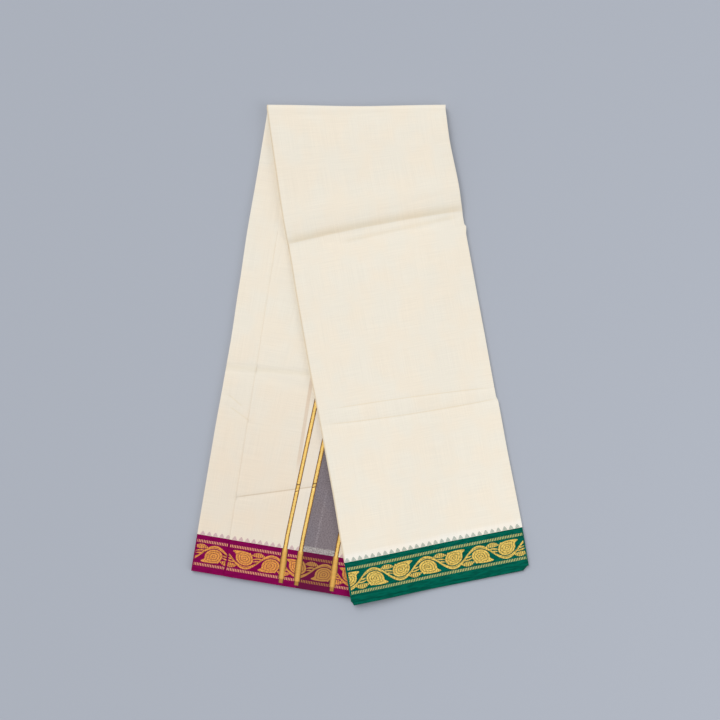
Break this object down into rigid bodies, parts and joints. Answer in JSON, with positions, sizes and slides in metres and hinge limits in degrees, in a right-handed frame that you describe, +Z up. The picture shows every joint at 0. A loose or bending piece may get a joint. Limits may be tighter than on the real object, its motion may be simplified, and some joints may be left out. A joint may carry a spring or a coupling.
{
  "type": "folded dhoti cloth",
  "caption": "Cotton dhoti cloth pressed into a long strip and folded once across, with a green and a magenta woven border, lying flat.",
  "frame": {"origin": "centre of the bounding box in plan, on the surface that the folded cloth lies on", "axes": "+X towards the green border's side, +Y towards the fold, +Z up out of the surface"},
  "size_m": [0.437, 0.6418, 0.0134],
  "materials": {
    "cream_cotton": "unbleached cotton, fine plain weave, pressed, with gold metallic stripes and a grey tissue band near the loose end",
    "green_cotton": "dark green woven border with a gold metallic leaf scroll",
    "magenta_cotton": "magenta woven border with a gold metallic leaf scroll",
    "gold_zari": "gold metallic thread, woven into the borders and stripes"
  },
  "bodies": {
    "root": {"outer_cloth": "cream_cotton", "green_border": "green_cotton", "underside_magenta_border": "magenta_cotton", "inner_layers": "cream_cotton", "inner_green_ends": "green_cotton", "inner_magenta_ends": "magenta_cotton", "loose_end": "cream_cotton", "magenta_border": "magenta_cotton"}
  },
  "joints": []
}
